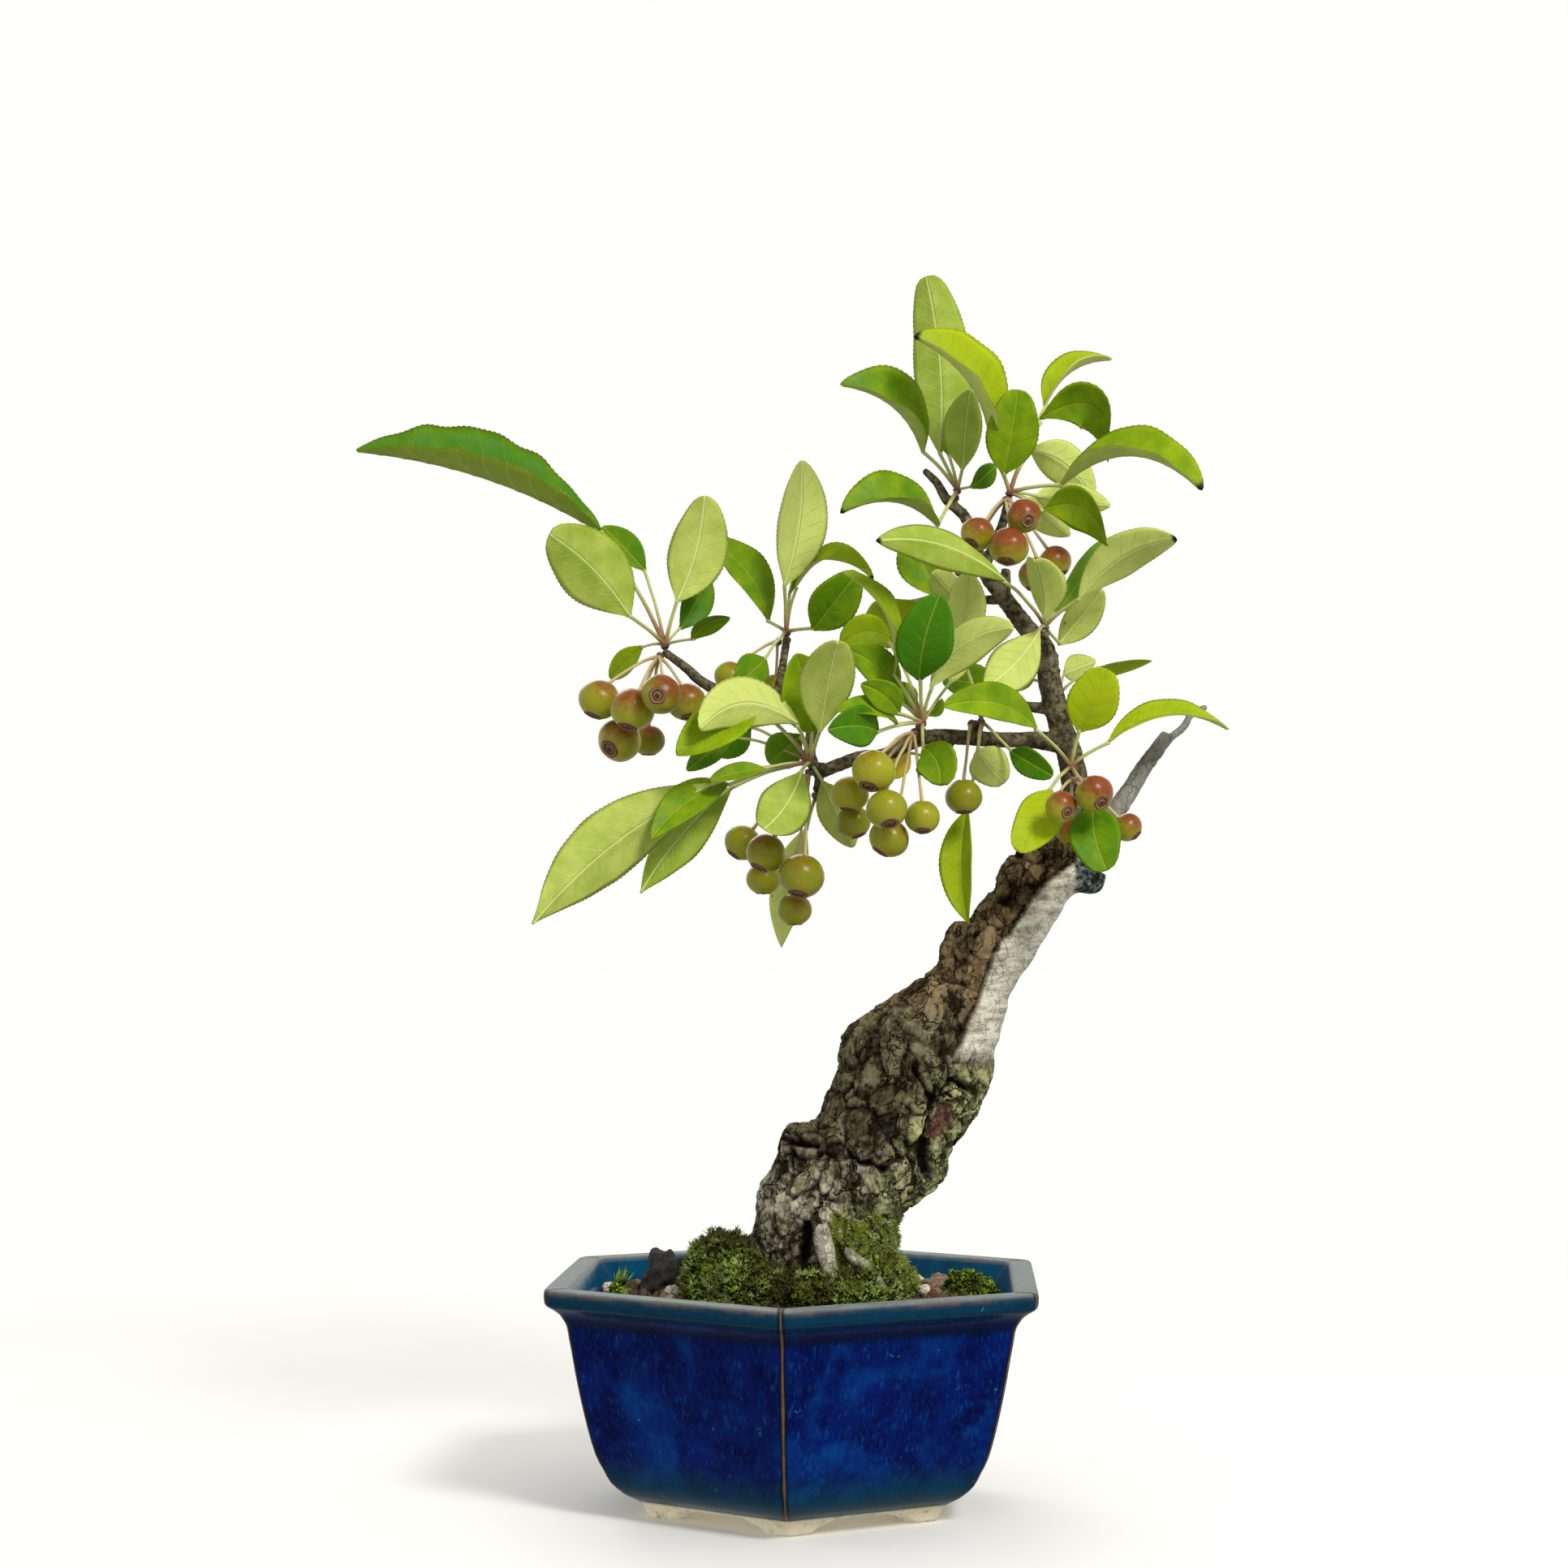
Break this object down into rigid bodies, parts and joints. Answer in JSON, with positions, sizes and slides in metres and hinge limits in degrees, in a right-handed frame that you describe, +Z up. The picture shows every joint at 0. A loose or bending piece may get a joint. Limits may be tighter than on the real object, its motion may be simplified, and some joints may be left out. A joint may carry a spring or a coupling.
{
  "type": "crabapple bonsai",
  "caption": "Fruiting crabapple bonsai with a leaning trunk, leaf rosettes and hanging fruit bunches, planted in a glazed hexagonal pot on feet.",
  "frame": {"origin": "on the pot's axis, on the surface that its feet stand on", "axes": "+Z up, +X to the right as seen from the tree's front, +Y towards its back"},
  "size_m": [0.3349, 0.209, 0.4816],
  "materials": {
    "glaze": "gloss",
    "screen": "matte",
    "soil": "matte",
    "moss": "matte",
    "pumice": "matte",
    "brown_stone": "matte",
    "charred_bark": "matte",
    "bark": "matte",
    "leaf": "satin",
    "yellow_leaf": "satin",
    "fruit": "satin"
  },
  "bodies": {
    "root": {"pot": "glaze", "drain_screen": "screen", "soil": "soil", "moss": "moss", "pumice_1": "pumice", "pumice_2": "pumice", "pumice_3": "pumice", "pumice_4": "pumice", "pumice_5": "pumice", "brown_stone_1": "brown_stone", "brown_stone_2": "brown_stone", "dark_lump": "charred_bark", "moss_clump": "moss", "moss_tuft": "moss", "trunk": "bark", "leaves_left": "leaf", "leaves_upperLeft": "leaf", "leaves_lowerLeft": "leaf", "leaves_front": "leaf", "leaves_branch": "leaf", "leaves_apexLeft": "leaf", "leaves_apexRight": "leaf", "leaves_leader": "leaf", "leaves_base": "leaf", "leaves_inner": "leaf", "leaves_stub": "leaf", "leaves_behind": "leaf", "leaves_under": "leaf", "leaves_low": "yellow_leaf", "fruits_left": "fruit", "fruits_upperLeft": "fruit", "fruits_lowerLeft": "fruit", "fruits_front": "fruit", "fruits_branch": "fruit", "fruits_apexRight": "fruit", "fruits_base": "fruit"}
  },
  "joints": []
}
